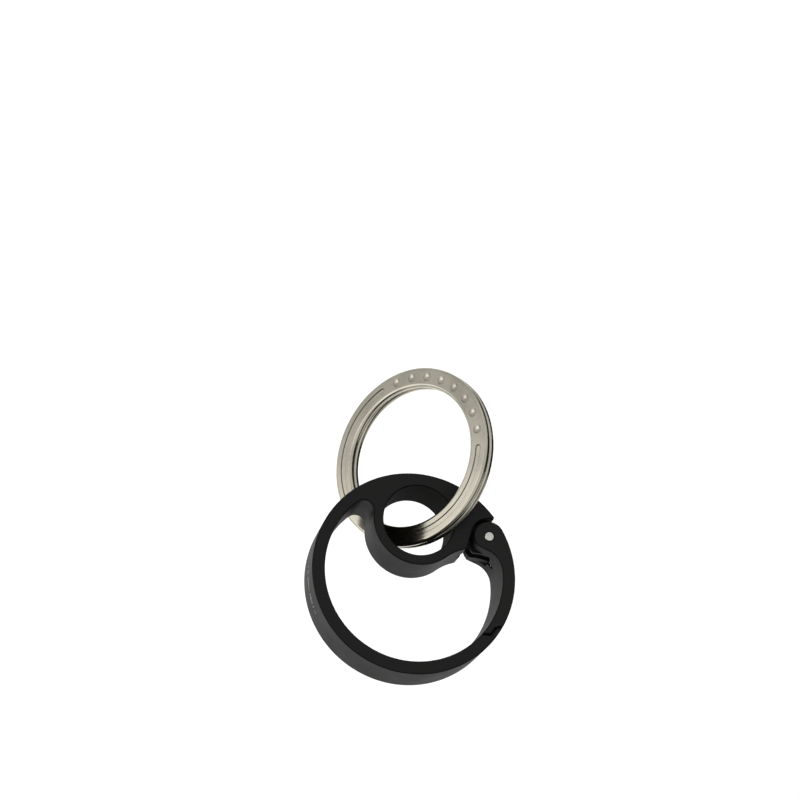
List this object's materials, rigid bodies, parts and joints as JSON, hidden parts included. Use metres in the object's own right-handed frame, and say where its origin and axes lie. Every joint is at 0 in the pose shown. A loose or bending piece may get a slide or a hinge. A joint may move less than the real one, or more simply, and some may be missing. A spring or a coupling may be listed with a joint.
{
  "type": "carabiner keyring",
  "caption": "Round spring-gate carabiner in black anodised aluminium with a small eye that carries a steel split key ring.",
  "frame": {"origin": "on the axis of the round body, half way through its thickness", "axes": "+Z out of the front face, +Y towards the eye and the key ring, +X towards the hinge side"},
  "size_m": [0.04, 0.0633, 0.0283],
  "materials": {
    "anodised": "satin black anodised",
    "anodised_gate": "satin black anodised",
    "steel": "turned pin end",
    "spring_steel": "drawn wire",
    "nickel": "polished nickel plate"
  },
  "bodies": {
    "frame": {"carabiner_body": "anodised", "hinge_pin": "steel", "gate_spring": "spring_steel"},
    "gate_arm": {"gate": "anodised_gate"},
    "ring": {"key_ring": "nickel"}
  },
  "joints": [
    {"name": "gate_hinge", "type": "hinge", "parent": "frame", "child": "gate_arm", "pos_m": [0.01525, 0.0074, 0], "axis": [0, 0, -1], "range_deg": [0, 66], "stiffness_Nm_per_rad": 0.015, "springref_deg": -57.3, "deforming": ["gate_spring"]},
    {"name": "ring_swing", "type": "hinge", "parent": "frame", "child": "ring", "pos_m": [0.0013, 0.01042, 0], "axis": [0, -1, 0], "range_deg": [0, 85]}
  ]
}
